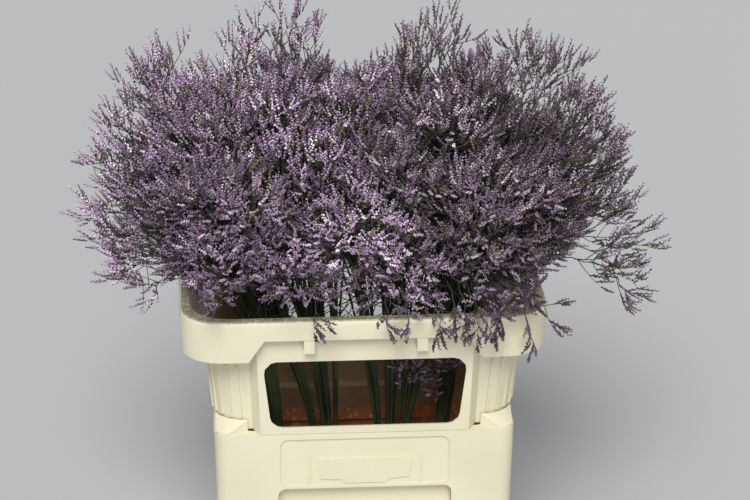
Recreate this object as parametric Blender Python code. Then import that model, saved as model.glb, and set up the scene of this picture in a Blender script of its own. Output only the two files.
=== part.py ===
"""Dried statice standing in a flower bucket, which carries a collar with two windows.

Metres, +Z up. The origin is the middle of the bucket's flat foot, and the front faces -Y.
"""

import math
import random

import bmesh
import bpy
import numpy as np
from mathutils import Vector

# Sizes of the bucket and the collar
BUCKET_HEIGHT = 0.240
BUCKET_WIDTH = 0.331
BUCKET_DEPTH = 0.262
BUCKET_CORNER = 0.016
COLLAR_HEIGHT = 0.145
RIM_WIDTH = 0.400
RIM_DEPTH = 0.300
RIM_CORNER = 0.044
WALL = 0.003
GAP = 0.0003
RIM = BUCKET_HEIGHT + GAP + COLLAR_HEIGHT
CORNER_SIDES = ((1, -1), (1, 1), (-1, 1), (-1, -1))
FRONT, BACK = -1, 1

# The collar's wall in section, as (inset from the rim's outline, height below the rim)
SKIRT_DROP = 0.048
BODY_INSET = 0.0275
FOOT_INSET = 0.0355
CORNER_SECTION = (
    (0.0015, -SKIRT_DROP),
    (0.0, -0.006),
    (0.003, 0.0),
    (0.012, 0.0),
    (0.015, -0.004),
    (0.019, -0.046),
    (BODY_INSET + WALL, -0.056),
    (FOOT_INSET + WALL, -COLLAR_HEIGHT),
    (FOOT_INSET, -COLLAR_HEIGHT),
    (BODY_INSET, -0.053),
    (0.016, -0.044),
    (0.0122, -0.0035),
    (0.0032, -0.0035),
    (0.0045, -SKIRT_DROP),
)
PANEL_SKIRT_DROP = 0.023
PANEL_SECTION = (
    (0.0007, -PANEL_SKIRT_DROP),
    (0.0, -0.006),
    (0.003, 0.0),
    (0.012, 0.0),
    (0.015, -0.004),
    (0.0153, -0.024),
    (0.0158, -0.040),
    (0.0225, -COLLAR_HEIGHT),
    (0.0195, -COLLAR_HEIGHT),
    (0.0128, -0.040),
    (0.0123, -0.024),
    (0.0122, -0.0035),
    (0.0032, -0.0035),
    (0.0037, -PANEL_SKIRT_DROP),
)
SKIRT_ENDS = (0, 13)
PANEL_EDGE = (0.128, 0.119, 0.110)
PANEL_NARROWING = 0.04
COLLAR_CORNER_STEPS = 5
RADIUS_LOSS = 0.22

# The windows, the ribs and the tabs of the collar
WINDOW_TOP, WINDOW_BOTTOM = -0.054, -0.1365
WINDOW_HALF_TOP, WINDOW_HALF_BOTTOM = 0.1115, 0.1025
WINDOW_CORNER = 0.014
RIB_TOP, RIB_BOTTOM = -0.064, -0.130
RIB_WIDTH, RIB_PROUD, RIB_SUNK = 0.0026, 0.0016, 0.0012
TAB_X, TAB_WIDTH, TAB_BOTTOM = 0.061, 0.012, -0.039

# The bucket's front and back
RELIEF = 0.0012
PANEL_HALF, PANEL_BOTTOM, PANEL_TOP, PANEL_CORNER = 0.0935, 0.1755, 0.2335, 0.009
GRIP_HALF, GRIP_BOTTOM, GRIP_TOP, GRIP_DEEP = 0.096, 0.134, 0.172, 0.013
GRIP_CORNER = 0.008
CUTTER_END = 0.16
HOLDER_HALF = 0.0615
EAR_HEIGHT = 0.013
EAR_GAP = 0.0035
EAR_CORNER = 0.0154
EAR_START = 27
EAR_STEPS = 4

# The plants: the bush's outline, its sprays, their stems, cores and twigs
CLUMP_X = 0.12
CLUMP_RAISE = 0.085
CLUMP_HALVES = (0.205, 0.185)
CLUMP_TOP, CLUMP_BOTTOM = 0.185, 0.136
FAN_RAISE = 0.030
NOTCH_DEEP, NOTCH_WIDE = 0.028, 0.045
HEADS = 62
CLOUD_POINTS = 3000
CLOUD_THICK = 0.06
GATHERINGS = 25
LOWEST_HEAD = -0.018
LOW_BAND, UPPER_KEPT = 0.09, 0.6
HEAD_REACHES = (0.90, 1.06)
STEM_VIEW = ((-0.060, 0.000), 0.030)
HEAD_START = 0.40
STEM_RADIUS = 0.0022
STEM_STEPS = 4
FOOT_RADIUS = 0.009
FOOT_HEIGHT = 0.012
FOOT_Z = 0.004 + GAP
BUNCHES = 4
BUNCH_FEET = ((-0.088, -0.012), (-0.032, 0.010), (0.036, -0.008), (0.092, 0.012))
TWIGS = 13
HEAD_SPREAD = 0.062
INNER_TWIGS = 8
INNER_SPREAD = 0.095
INNER_REACH = 0.76
INNER_SHARE = 0.2
CORE_SIDES = 5
CORE_RINGS = ((0.0, 0.0035), (0.2, 0.008), (0.4, 0.011), (0.6, 0.011), (0.8, 0.008))
CORE_REACH = 0.0175
FLORET_FROM = 2
FLORET = 0.008
TWIG_RADIUS = 0.0045
TWIG_REACH = 0.0070
FORK_REACH = 0.0025
GOLDEN_ANGLE = math.radians(137.508)
CLEARANCE = 0.0012

# Colours, roughness
CREAM = (0.74, 0.71, 0.52)
STEM_GREEN = (0.045, 0.075, 0.035)
LILAC = (0.235, 0.150, 0.320)
LILAC_GREY = (0.225, 0.165, 0.265)


def clear_scene():
    for obj in list(bpy.data.objects):
        bpy.data.objects.remove(obj, do_unlink=True)


def material(name, colour, roughness):
    made = bpy.data.materials.new(name)
    made.use_nodes = True
    shader = made.node_tree.nodes["Principled BSDF"]
    shader.inputs["Base Color"].default_value = (*colour, 1.0)
    shader.inputs["Roughness"].default_value = roughness
    shader.inputs["Metallic"].default_value = 0.0
    return made


def object_of(name, points, faces, finish):
    """An object with one closed skin, its faces pointing out."""
    mesh = bpy.data.meshes.new(name)
    mesh.from_pydata([tuple(point) for point in points], [], faces)
    shell = bmesh.new()
    shell.from_mesh(mesh)
    bmesh.ops.recalc_face_normals(shell, faces=shell.faces)
    shell.to_mesh(mesh)
    shell.free()
    mesh.materials.append(finish)
    obj = bpy.data.objects.new(name, mesh)
    bpy.context.scene.collection.objects.link(obj)
    return obj


def apply_boolean(target, operation, solver, part=None, group=None):
    boolean = target.modifiers.new("combine", "BOOLEAN")
    boolean.operation = operation
    boolean.solver = solver
    if group:
        boolean.operand_type = "COLLECTION"
        boolean.collection = group
    else:
        boolean.object = part
    bpy.context.view_layer.update()
    graph = bpy.context.evaluated_depsgraph_get()
    mesh = bpy.data.meshes.new_from_object(target.evaluated_get(graph))
    target.modifiers.clear()
    target.data = mesh


def fuse(target, parts, solver="EXACT"):
    """Joins the parts to the target in one union, and removes them."""
    group = bpy.data.collections.new("parts")
    bpy.context.scene.collection.children.link(group)
    for part in parts:
        bpy.context.scene.collection.objects.unlink(part)
        group.objects.link(part)
    apply_boolean(target, "UNION", solver, group=group)
    for part in list(group.objects):
        bpy.data.objects.remove(part, do_unlink=True)
    bpy.data.collections.remove(group)


def cut(target, cutters, solver="EXACT"):
    """Cuts each cutter from the target, and removes it."""
    for cutter in cutters:
        apply_boolean(target, "DIFFERENCE", solver, part=cutter)
        bpy.data.objects.remove(cutter, do_unlink=True)


# Plane outlines


def rounded_outline(width, depth, radius, steps):
    """Points round a rectangle with arcs at its corners, anticlockwise from above."""
    points = []
    for quarter, (side_x, side_y) in enumerate(CORNER_SIDES):
        middle = Vector((side_x * (width / 2 - radius), side_y * (depth / 2 - radius)))
        for step in range(steps + 1):
            angle = math.radians(90 * (quarter - 1 + step / steps))
            points.append(middle + radius * Vector((math.cos(angle), math.sin(angle))))
    return points


def rounded_corners(corners, radius, steps):
    """The outline of a polygon with an arc in place of each corner."""
    points = []
    for i, corner in enumerate(corners):
        here = Vector(corner)
        before = (Vector(corners[i - 1]) - here).normalized()
        after = (Vector(corners[(i + 1) % len(corners)]) - here).normalized()
        half = before.angle(after) / 2
        middle = here + (before + after).normalized() * radius / math.sin(half)
        start = here + before * radius / math.tan(half) - middle
        end = here + after * radius / math.tan(half) - middle
        for step in range(steps + 1):
            spoke = start.lerp(end, step / steps).normalized() * radius
            points.append(middle + spoke)
    return points


def prism(name, outline, y_from, y_to, finish):
    """An outline in X and Z, drawn out along Y."""
    count = len(outline)
    points = [(x, y, z) for y in (y_from, y_to) for x, z in outline]
    faces = [tuple(range(count)), tuple(range(count, 2 * count))]
    faces += [(i, (i + 1) % count, count + (i + 1) % count, count + i) for i in range(count)]
    return object_of(name, points, faces, finish)


def box(name, low, high, finish):
    outline = [(low[0], low[2]), (high[0], low[2]), (high[0], high[2]), (low[0], high[2])]
    return prism(name, outline, low[1], high[1], finish)


# Collar


def collar_columns():
    """The wall's section at each place round the rim, as lists of points."""
    columns = []
    for quarter, (side_x, side_y) in enumerate(CORNER_SIDES):
        for step in range(COLLAR_CORNER_STEPS + 1):
            angle = math.radians(90 * (quarter - 1 + step / COLLAR_CORNER_STEPS))
            columns.append([corner_point(side_x, side_y, angle, *at) for at in CORNER_SECTION])
        if quarter in (1, 3):
            columns += panel_columns(side_y)
    return columns


def corner_point(side_x, side_y, angle, inset, height, proud=0.0):
    radius = RIM_CORNER - RADIUS_LOSS * inset
    x = side_x * (RIM_WIDTH / 2 - inset - radius) + (radius + proud) * math.cos(angle)
    y = side_y * (RIM_DEPTH / 2 - inset - radius) + (radius + proud) * math.sin(angle)
    return (x, y, RIM + height)


def panel_columns(side):
    """The sections across the front or back, where a panel stands out under a shorter skirt."""
    edge = list(CORNER_SECTION)
    inner = list(PANEL_SECTION)
    turn = list(PANEL_SECTION)
    for i in SKIRT_ENDS:
        turn[i] = tuple((a + b) / 2 for a, b in zip(edge[i], inner[i]))
    half = list(zip(PANEL_EDGE, (edge, turn, inner)))
    stations = half + [(-x, section) for x, section in reversed(half)]
    columns = []
    for x, section in stations:
        column = []
        for inset, height in section:
            narrowed = x * (1 + PANEL_NARROWING * height / COLLAR_HEIGHT)
            column.append((side * narrowed, side * (RIM_DEPTH / 2 - inset), RIM + height))
        columns.append(column)
    return columns


def ring(name, columns, finish):
    """A ring whose wall is closed round its section."""
    rows = len(columns[0])
    points = [point for column in columns for point in column]
    faces = []
    for i in range(len(columns)):
        j = (i + 1) % len(columns)
        for k in range(rows):
            m = (k + 1) % rows
            faces.append((i * rows + k, j * rows + k, j * rows + m, i * rows + m))
    return object_of(name, points, faces, finish)


def body_inset(height):
    """How far the collar's body lies inside the rim's outline, at a height below the rim."""
    top = -0.053
    share = (top - height) / (top + COLLAR_HEIGHT)
    return BODY_INSET + (FOOT_INSET - BODY_INSET) * share


def rib(side_x, side_y, angle, finish):
    """An upright rib on the collar's corner, under the skirt."""
    points = []
    for height in (RIB_BOTTOM, RIB_TOP):
        for proud in (-RIB_SUNK, RIB_PROUD):
            for side in (-1, 1):
                x, y, z = corner_point(side_x, side_y, angle, body_inset(height), height, proud)
                across = side * RIB_WIDTH / 2
                points.append((x - across * math.sin(angle), y + across * math.cos(angle), z))
    faces = [(0, 1, 3, 2), (4, 5, 7, 6), (0, 1, 5, 4), (2, 3, 7, 6), (0, 2, 6, 4), (1, 3, 7, 5)]
    return object_of("rib", points, faces, finish)


def window_outline():
    corners = [
        (-WINDOW_HALF_BOTTOM, RIM + WINDOW_BOTTOM),
        (WINDOW_HALF_BOTTOM, RIM + WINDOW_BOTTOM),
        (WINDOW_HALF_TOP, RIM + WINDOW_TOP),
        (-WINDOW_HALF_TOP, RIM + WINDOW_TOP),
    ]
    return rounded_corners(corners, WINDOW_CORNER, 3)


def make_collar(finish):
    collar = ring("collar", collar_columns(), finish)
    additions = []
    for quarter, (side_x, side_y) in enumerate(CORNER_SIDES):
        for step in range(COLLAR_CORNER_STEPS):
            turn = (step + 0.5) / COLLAR_CORNER_STEPS
            additions.append(rib(side_x, side_y, math.radians(90 * (quarter - 1 + turn)), finish))
    for side in (FRONT, BACK):
        for x in (-TAB_X, TAB_X):
            near, far = sorted((side * (RIM_DEPTH / 2 - 0.0015), side * (RIM_DEPTH / 2 - 0.014)))
            low = (x - TAB_WIDTH / 2, near, RIM + TAB_BOTTOM)
            high = (x + TAB_WIDTH / 2, far, RIM - PANEL_SKIRT_DROP + 0.008)
            additions.append(box("tab", low, high, finish))
    fuse(collar, additions, "MANIFOLD")
    windows = []
    for side in (FRONT, BACK):
        windows.append(prism("window", window_outline(), side * 0.10, side * 0.17, finish))
    cut(collar, windows, "MANIFOLD")
    return collar


# Bucket


def loft(name, outlines, finish):
    """A solid through level outlines, each (points, height), closed at its first and last."""
    count = len(outlines[0][0])
    points = [(x, y, height) for outline, height in outlines for x, y in outline]
    faces = []
    for level in range(len(outlines) - 1):
        low, high = level * count, (level + 1) * count
        for i in range(count):
            j = (i + 1) % count
            faces.append((low + i, low + j, high + j, high + i))
    faces.append(tuple(range(count)))
    faces.append(tuple(range(len(points) - count, len(points))))
    return object_of(name, points, faces, finish)


def bucket_levels():
    """Outer wall from the foot up, and the inner wall down to the floor: (width lost, corner, height)."""
    return (
        (0.031, 0.014, 0.0),
        (0.027, 0.016, 0.003),
        (0.013, 0.016, 0.113),
        (0.004, 0.016, 0.121),
        (0.0, BUCKET_CORNER, 0.2375),
        (0.0, BUCKET_CORNER, BUCKET_HEIGHT),
        (0.024, 0.030, BUCKET_HEIGHT),
        (0.024, 0.030, BUCKET_HEIGHT - 0.003),
        (0.006, 0.013, BUCKET_HEIGHT - 0.006),
        (0.010, 0.013, 0.124),
        (0.019, 0.013, 0.116),
        (0.033, 0.012, 0.004),
    )


def front_y(height):
    """How far out the bucket's front and back walls stand, at a height."""
    share = (height - 0.121) / (0.2375 - 0.121)
    return (BUCKET_DEPTH - 0.004 * (1 - share)) / 2


def ear(side_x, side_y, finish):
    """The bucket's raised corner, which slopes up to the round corner of the collar."""
    collar_radius = RIM_CORNER - RADIUS_LOSS * FOOT_INSET
    middle_x = side_x * (RIM_WIDTH / 2 - FOOT_INSET - collar_radius)
    middle_y = side_y * (RIM_DEPTH / 2 - FOOT_INSET - collar_radius)
    level = BUCKET_HEIGHT - 0.001
    top = BUCKET_HEIGHT + EAR_HEIGHT
    points = []
    for step in range(EAR_STEPS + 1):
        angle = math.radians(EAR_START + (90 - EAR_START) * step / EAR_STEPS)
        reach_x, reach_y = side_x * math.cos(angle), side_y * math.sin(angle)
        outer_x = side_x * (BUCKET_WIDTH / 2 - BUCKET_CORNER) + EAR_CORNER * reach_x
        outer_y = side_y * (BUCKET_DEPTH / 2 - BUCKET_CORNER) + EAR_CORNER * reach_y
        inner_x = middle_x + reach_x * (collar_radius + EAR_GAP)
        inner_y = middle_y + reach_y * (collar_radius + EAR_GAP)
        points += [(outer_x, outer_y, level), (outer_x, outer_y, BUCKET_HEIGHT + 0.003)]
        points += [(inner_x, inner_y, top), (inner_x, inner_y, level)]
    faces = [(0, 1, 2, 3), tuple(range(4 * EAR_STEPS, 4 * EAR_STEPS + 4))]
    for step in range(EAR_STEPS):
        a, b = 4 * step, 4 * step + 4
        faces += [(a + k, b + k, b + (k + 1) % 4, a + (k + 1) % 4) for k in range(4)]
    return object_of("ear", points, faces, finish)


def holder_outline():
    """The label holder's front plate, with a lower tongue in the middle."""
    left = [(-0.052, 0.2085), (-0.049, 0.184), (-0.0265, 0.1825), (-0.023, 0.1780)]
    return left + [(-x, z) for x, z in reversed(left)]


def face_details(side, finish):
    """(added, cut) solids of the bucket's front or back: a sunk panel, a label holder and a grip."""
    face = side * front_y(PANEL_BOTTOM)
    panel_corners = [
        (-PANEL_HALF, PANEL_BOTTOM),
        (PANEL_HALF, PANEL_BOTTOM),
        (PANEL_HALF, PANEL_TOP),
        (-PANEL_HALF, PANEL_TOP),
    ]
    sunk_outline = rounded_corners(panel_corners, PANEL_CORNER, 3)
    sunk = prism("sunk", sunk_outline, face - side * RELIEF, side * CUTTER_END, finish)
    grip_corners = [
        (-GRIP_HALF, GRIP_BOTTOM),
        (GRIP_HALF, GRIP_BOTTOM),
        (GRIP_HALF, GRIP_TOP),
        (-GRIP_HALF, GRIP_TOP),
    ]
    grip_floor = face - side * GRIP_DEEP
    grip_outline = rounded_corners(grip_corners, GRIP_CORNER, 3)
    grip = prism("grip", grip_outline, grip_floor, side * CUTTER_END, finish)
    y_low, y_high = sorted((grip_floor - side * WALL, face - side * 0.002))
    low = (-GRIP_HALF - WALL, y_low, GRIP_BOTTOM - WALL)
    high = (GRIP_HALF + WALL, y_high, GRIP_TOP + WALL)
    pocket = box("pocket", low, high, finish)
    proud = face + side * 0.0004
    plate = prism("plate", holder_outline(), face - side * 0.0025, proud, finish)
    strips = []
    for x in (-HOLDER_HALF, HOLDER_HALF):
        y_low, y_high = sorted((face - side * 0.0025, proud))
        strips.append(box("strip", (x - 0.001, y_low, 0.1790), (x + 0.001, y_high, 0.2130), finish))
    return [pocket], [sunk, grip], [plate, *strips]


def make_bucket(finish):
    outlines = []
    for lost, corner, height in bucket_levels():
        outline = rounded_outline(BUCKET_WIDTH - lost, BUCKET_DEPTH - lost, corner, 3)
        outlines.append((outline, height))
    bucket = loft("bucket", outlines, finish)
    details = [face_details(side, finish) for side in (FRONT, BACK)]
    ears = [ear(side_x, side_y, finish) for side_x, side_y in CORNER_SIDES]
    fuse(bucket, [part for pockets, _, _ in details for part in pockets] + ears)
    cut(bucket, [part for _, cuts, _ in details for part in cuts])
    fuse(bucket, [part for _, _, raised in details for part in raised])
    return bucket


# Plan of the plants


def curve(start, control, end, share):
    return start.lerp(control, share).lerp(control.lerp(end, share), share)


def middle_of(point, height):
    """The nearest place to a point on a line along the bush, at a height above the rim."""
    return Vector((max(-CLUMP_X, min(CLUMP_X, point.x)), 0, RIM + height))


def focus_of(point):
    """The place that a spray fans out from."""
    return middle_of(point, FAN_RAISE)


def dome_share(point):
    """How far out a point lies, where 1 is on the bush's outline. The bush narrows to the rim."""
    away = point - middle_of(point, CLUMP_RAISE)
    notch = NOTCH_DEEP * math.exp(-((point.x / NOTCH_WIDE) ** 2))
    halves = (*CLUMP_HALVES, CLUMP_TOP - notch if away.z > 0 else CLUMP_BOTTOM)
    return math.sqrt(sum((part / half) ** 2 for part, half in zip(away, halves)))


def onto_dome(point):
    """Where the line from a point's focus through it leaves the bush."""
    focus = focus_of(point)
    near, far = 0.0, 0.5 / (point - focus).length
    for _ in range(20):
        share = (near + far) / 2
        if dome_share(focus.lerp(point, share)) < 1:
            near = share
        else:
            far = share
    return focus.lerp(point, near)


def in_stem_view(point):
    """Whether a point is in the low gap at the front where the stems show."""
    (x_from, x_to), height = STEM_VIEW
    return point.y < 0 and x_from < point.x < x_to and point.z < RIM + height


def dome_points(rng):
    """Places over the dome: a cloud of points near it, denser low down, gathered into groups."""
    cloud = []
    while len(cloud) < CLOUD_POINTS:
        x = rng.uniform(-1, 1) * (CLUMP_X + CLUMP_HALVES[0])
        y = rng.uniform(-1, 1) * CLUMP_HALVES[1]
        z = RIM + rng.uniform(LOWEST_HEAD, CLUMP_RAISE + CLUMP_TOP)
        point = Vector((x, y, z))
        kept = z < RIM + LOW_BAND or rng.random() < UPPER_KEPT
        if kept and abs(dome_share(point) - 1) < CLOUD_THICK and not in_stem_view(point):
            cloud.append(point)
    cloud = np.array(cloud)
    middles = cloud[:HEADS]
    for _ in range(GATHERINGS):
        nearest = ((cloud[:, None] - middles[None]) ** 2).sum(axis=2).argmin(axis=1)
        middles = np.array([cloud[nearest == i].mean(axis=0) for i in range(HEADS)])
    return [onto_dome(Vector(middle)) for middle in middles]


def plan_heads():
    """One dict for each spray, sorted from left to right."""
    rng = random.Random(7)
    heads = []
    for place in dome_points(rng):
        focus = focus_of(place)
        reach = rng.uniform(*HEAD_REACHES)
        outer = focus.lerp(place, reach)
        start = focus.lerp(outer, HEAD_START)
        start.z = max(start.z, RIM + 0.030)
        end = focus.lerp(outer, rng.uniform(0.88, 0.98))
        direction = (outer - focus).normalized()
        head = {
            "outer": outer,
            "reach": reach,
            "direction": direction,
            "start": start,
            "end": end,
            "turn": rng.uniform(0, math.tau),
            "seed": rng.randrange(10**6),
        }
        lift = 0.012 * (1 - abs(direction.z))
        head["control"] = start.lerp(end, 0.5) + Vector((0, 0, lift))
        while not core_clear_of_collar(head) and lift < 0.1:
            lift += 0.004
            head["control"] = start.lerp(end, 0.5) + Vector((0, 0, lift))
        if all(cores_apart(head, other) for other in heads):
            heads.append(head)
    heads.sort(key=lambda head: head["start"].x)
    for i, head in enumerate(heads):
        head["bunch"] = min(i * BUNCHES // len(heads), BUNCHES - 1)
    return heads


def finer(path, steps=5):
    """Points all along a path of straight stretches."""
    points = [path[0]]
    for start, end in zip(path, path[1:]):
        points += [start.lerp(end, step / steps) for step in range(1, steps + 1)]
    return points


class Space:
    """What already stands where, as straight capsules. Each is held by a spray and one of its twigs."""

    def __init__(self):
        self.starts, self.ends, self.radii, self.holders = [], [], [], []

    def add(self, path, radius, spray, twig=-1):
        for start, end in zip(path, path[1:]):
            self.starts.append(tuple(start))
            self.ends.append(tuple(end))
            self.radii.append(radius)
            self.holders.append((spray, twig))

    def clear(self, path, radius, spray, twig, rooted=1):
        """Whether a twig keeps clear of other sprays and, past its root, of its own spray's other twigs."""
        held = np.array(self.holders)
        other_sprays = held[:, 0] != spray
        own_twigs = (held[:, 0] == spray) & (held[:, 1] != twig) & (held[:, 1] >= 0)
        starts, ends = np.array(self.starts), np.array(self.ends)
        least = np.array(self.radii) + radius + CLEARANCE
        for i, (start, end) in enumerate(zip(path, path[1:])):
            tested = other_sprays if i < rooted else other_sprays | own_twigs
            apart = gaps(np.array(start), np.array(end), starts[tested], ends[tested])
            if (apart < least[tested]).any():
                return False
        return True


def gaps(start, end, starts, ends):
    """The least distance from one straight stretch to each of the others."""
    along, theirs, between = end - start, ends - starts, start - starts
    a = along @ along
    e = (theirs * theirs).sum(axis=1)
    f = (theirs * between).sum(axis=1)
    b = theirs @ along
    c = between @ along
    spread = np.maximum(a * e - b * b, 1e-12)
    share = np.clip((b * f - c * e) / spread, 0, 1)
    other = np.clip((b * share + f) / np.maximum(e, 1e-12), 0, 1)
    share = np.clip((b * other - c) / max(a, 1e-12), 0, 1)
    nearest = start + share[:, None] * along - starts - other[:, None] * theirs
    return np.sqrt((nearest * nearest).sum(axis=1))


def clear_of_collar(point, radius):
    """Whether a ball of this radius touches neither the collar's rim nor its wall."""
    x, y = abs(point.x), abs(point.y)
    if point.z - radius > RIM + GAP:
        return True
    if x > RIM_WIDTH / 2 + radius + GAP or y > RIM_DEPTH / 2 + radius + GAP:
        return True
    return x + radius < 0.150 and y + radius < 0.105


def core_clear_of_collar(head):
    return all(clear_of_collar(core_path(head, i / 8), CORE_REACH) for i in range(1, 9))


def cores_apart(head, other):
    """Whether two sprays' cores keep clear of each other, with their florets."""
    shares = [i / 8 for i in range(9)]
    ours = np.array([core_path(head, share) for share in shares])
    theirs = np.array([core_path(other, share) for share in shares])
    ring_shares, ring_radii = zip(*CORE_RINGS)
    reach = np.interp(shares, ring_shares, ring_radii)
    reach[np.array(shares) > ring_shares[FLORET_FROM] - 0.1] += FLORET
    apart = np.sqrt(((ours[:, None] - theirs[None]) ** 2).sum(axis=2))
    return (apart > reach[:, None] + reach[None] + CLEARANCE).all()


# Solids of the plants


class Skin:
    """A closed skin of triangles that grows by moving its faces outwards."""

    def __init__(self):
        self.points, self.faces = [], []

    def add(self, point):
        self.points.append(Vector(point))
        return len(self.points) - 1

    def middle(self, face):
        a, b, c = (self.points[i] for i in self.faces[face])
        return (a + b + c) / 3

    def normal(self, face):
        a, b, c = (self.points[i] for i in self.faces[face])
        return (b - a).cross(c - a).normalized()

    def tube(self, rings, tip):
        """A tube through rings of points, flat at its start and pointed at its end.

        Gives each stretch's faces.
        """
        rows = [[self.add(point) for point in ring_points] for ring_points in rings]
        count = len(rows[0])
        for i in range(1, count - 1):
            self.faces.append((rows[0][0], rows[0][i + 1], rows[0][i]))
        stretches = []
        for low, high in zip(rows, rows[1:]):
            first = len(self.faces)
            for i in range(count):
                j = (i + 1) % count
                self.faces.append((low[i], low[j], high[j]))
                self.faces.append((low[i], high[j], high[i]))
            stretches.append(range(first, len(self.faces)))
        first = len(self.faces)
        top = self.add(tip)
        for i in range(count):
            self.faces.append((rows[-1][i], rows[-1][(i + 1) % count], top))
        stretches.append(range(first, len(self.faces)))
        return stretches

    def point_out(self, face, tip):
        """Raises a face to a point, as a floret."""
        a, b, c = self.faces[face]
        top = self.add(tip)
        self.faces[face] = (a, b, top)
        self.faces += [(b, c, top), (c, a, top)]

    def move_out(self, face, middle, direction, radius):
        """Draws a face out to a small triangle across the direction. Gives the side faces."""
        old = self.faces[face]
        spoke = self.points[old[0]] - self.middle(face)
        across = (spoke - spoke.project(direction)).normalized()
        third = direction.cross(across)
        new = []
        for i in range(3):
            angle = math.tau * i / 3
            offset = across * math.cos(angle) + third * math.sin(angle)
            new.append(self.add(middle + offset * radius))
        self.faces[face] = tuple(new)
        first = len(self.faces)
        for i in range(3):
            j = (i + 1) % 3
            self.faces.append((old[i], old[j], new[j]))
            self.faces.append((old[i], new[j], new[i]))
        return list(range(first, len(self.faces)))


def ring_points(middle, direction, radius, sides, turn=0.0):
    """Points round a circle across the direction, anticlockwise as seen from its end."""
    aside = Vector((0, 0, 1)) if abs(direction.z) < 0.9 else Vector((1, 0, 0))
    first = direction.cross(aside).normalized()
    second = direction.cross(first)
    points = []
    for i in range(sides):
        angle = turn + math.tau * i / sides
        points.append(middle + radius * (first * math.cos(angle) + second * math.sin(angle)))
    return points


def core_path(head, share):
    return curve(head["start"], head["control"], head["end"], share)


def twig_targets(head):
    """Where the spray's twigs end, and at what share of its core each starts.

    An even spiral of them ends on the bush's outline, and a few lower ones end inside it.
    """
    rng = random.Random(head["seed"])
    length = (head["end"] - head["start"]).length
    direction = head["direction"]
    aside = Vector((0, 0, 1)) if abs(direction.z) < 0.9 else Vector((1, 0, 0))
    first = direction.cross(aside).normalized()
    second = direction.cross(first)
    targets = []
    for i in range(TWIGS):
        spread = HEAD_SPREAD * math.sqrt((i + 0.6) / TWIGS)
        angle = head["turn"] + i * GOLDEN_ANGLE
        aside = (first * math.cos(angle) + second * math.sin(angle)) * spread
        target = onto_dome(head["outer"] + aside)
        share = min(max(1 - 1.05 * spread / length, 0.15), 0.93)
        reach = head["reach"] * rng.uniform(0.93, 1.06)
        targets.append((focus_of(target).lerp(target, reach), share))
    for i in range(INNER_TWIGS):
        angle = head["turn"] + math.tau * (i + 0.5) / INNER_TWIGS
        aside = (first * math.cos(angle) + second * math.sin(angle)) * INNER_SPREAD
        target = onto_dome(head["outer"] + aside)
        targets.append((focus_of(target).lerp(target, INNER_REACH), INNER_SHARE))
    return targets


def twig_path(head, root, target, shortened):
    """A twig's three points, from its root to its tip. It bends outwards."""
    tip = root.lerp(target, shortened)
    control = root.lerp(tip, 0.5) - head["direction"] * (tip - root).length * 0.10
    return [curve(root, control, tip, share) for share in (0.0, 0.42, 1.0)]


def make_head(index, head, space, finish):
    """One spray: a slim core with twigs, and florets on both."""
    skin = Skin()
    name = f"spray_{index + 1:02d}"
    rings = []
    for share, radius in CORE_RINGS:
        along = (core_path(head, share + 0.02) - core_path(head, share)).normalized()
        rings.append(ring_points(core_path(head, share), along, radius, CORE_SIDES, share * 2))
    stretches = skin.tube(rings, core_path(head, 1.0))
    used = set()
    for twig, (target, share) in enumerate(twig_targets(head)):
        stretch = stretches[sum(share > ring_share for ring_share, _ in CORE_RINGS) - 1]
        aim = (target - core_path(head, share)).normalized()
        free = [face for face in stretch if face not in used]
        free.sort(key=lambda face: -skin.normal(face).dot(aim))
        for face in free[:3]:
            if grow_twig(skin, face, head, target, space, (index, twig)):
                used.add(face)
                break
    for stretch in stretches[FLORET_FROM:]:
        for face in stretch[::2]:
            if face not in used:
                out = skin.normal(face) * FLORET + head["direction"] * FLORET * 1.5
                skin.point_out(face, skin.middle(face) + out)
    return object_of(name, skin.points, skin.faces, finish)


def grow_twig(skin, face, head, target, space, holder):
    """Draws a face out to a forked twig with florets, if there is room for it."""
    root = skin.middle(face)
    for shortened in (1.0, 0.85, 0.7, 0.55):
        path = twig_path(head, root, target, shortened)
        free = all(clear_of_collar(point, TWIG_REACH + 0.003) for point in finer(path))
        if free and space.clear(path, TWIG_REACH, *holder):
            break
    else:
        return False
    space.add(path, TWIG_REACH, *holder)
    sides = skin.move_out(face, path[1], (path[2] - path[0]).normalized(), TWIG_RADIUS)
    along = (path[2] - path[1]).normalized()
    first = len(skin.faces)
    skin.point_out(face, path[2])
    for side in (face, first, first + 1):
        out = skin.normal(side) * FLORET + along * FLORET * 0.5
        skin.point_out(side, skin.middle(side) + out)
    for side in sides[1::2]:
        fork(skin, side, path, space, holder)
    return True


def fork(skin, side, path, space, holder):
    """Raises a side face to a long point that leaves the twig sideways, if there is room for it."""
    middle = skin.middle(side)
    along = (path[2] - path[1]).normalized()
    away = (along * 0.75 + skin.normal(side) * 0.65).normalized()
    for length in (0.60, 0.45, 0.3):
        tip = middle + away * (path[2] - path[1]).length * length
        outer = [middle.lerp(tip, 0.5), tip]
        free = all(clear_of_collar(point, FORK_REACH) for point in finer([middle, tip]))
        if free and space.clear(outer, FORK_REACH, *holder, rooted=0):
            space.add(outer, FORK_REACH, *holder)
            skin.point_out(side, tip)
            return


def stem_path(head, foot):
    """A stem's points, from its foot to the start of its spray."""
    end = head["start"] - (head["control"] - head["start"]).normalized() * 0.0005
    low = foot + Vector((0, 0, 0.55 * RIM))
    high = end - (head["control"] - head["start"]).normalized() * 0.09
    high.z = max(high.z, RIM * 0.8)
    points = []
    for i in range(STEM_STEPS + 1):
        share = i / STEM_STEPS
        points.append(
            foot * (1 - share) ** 3
            + low * 3 * share * (1 - share) ** 2
            + high * 3 * share**2 * (1 - share)
            + end * share**3
        )
    return points


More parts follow.
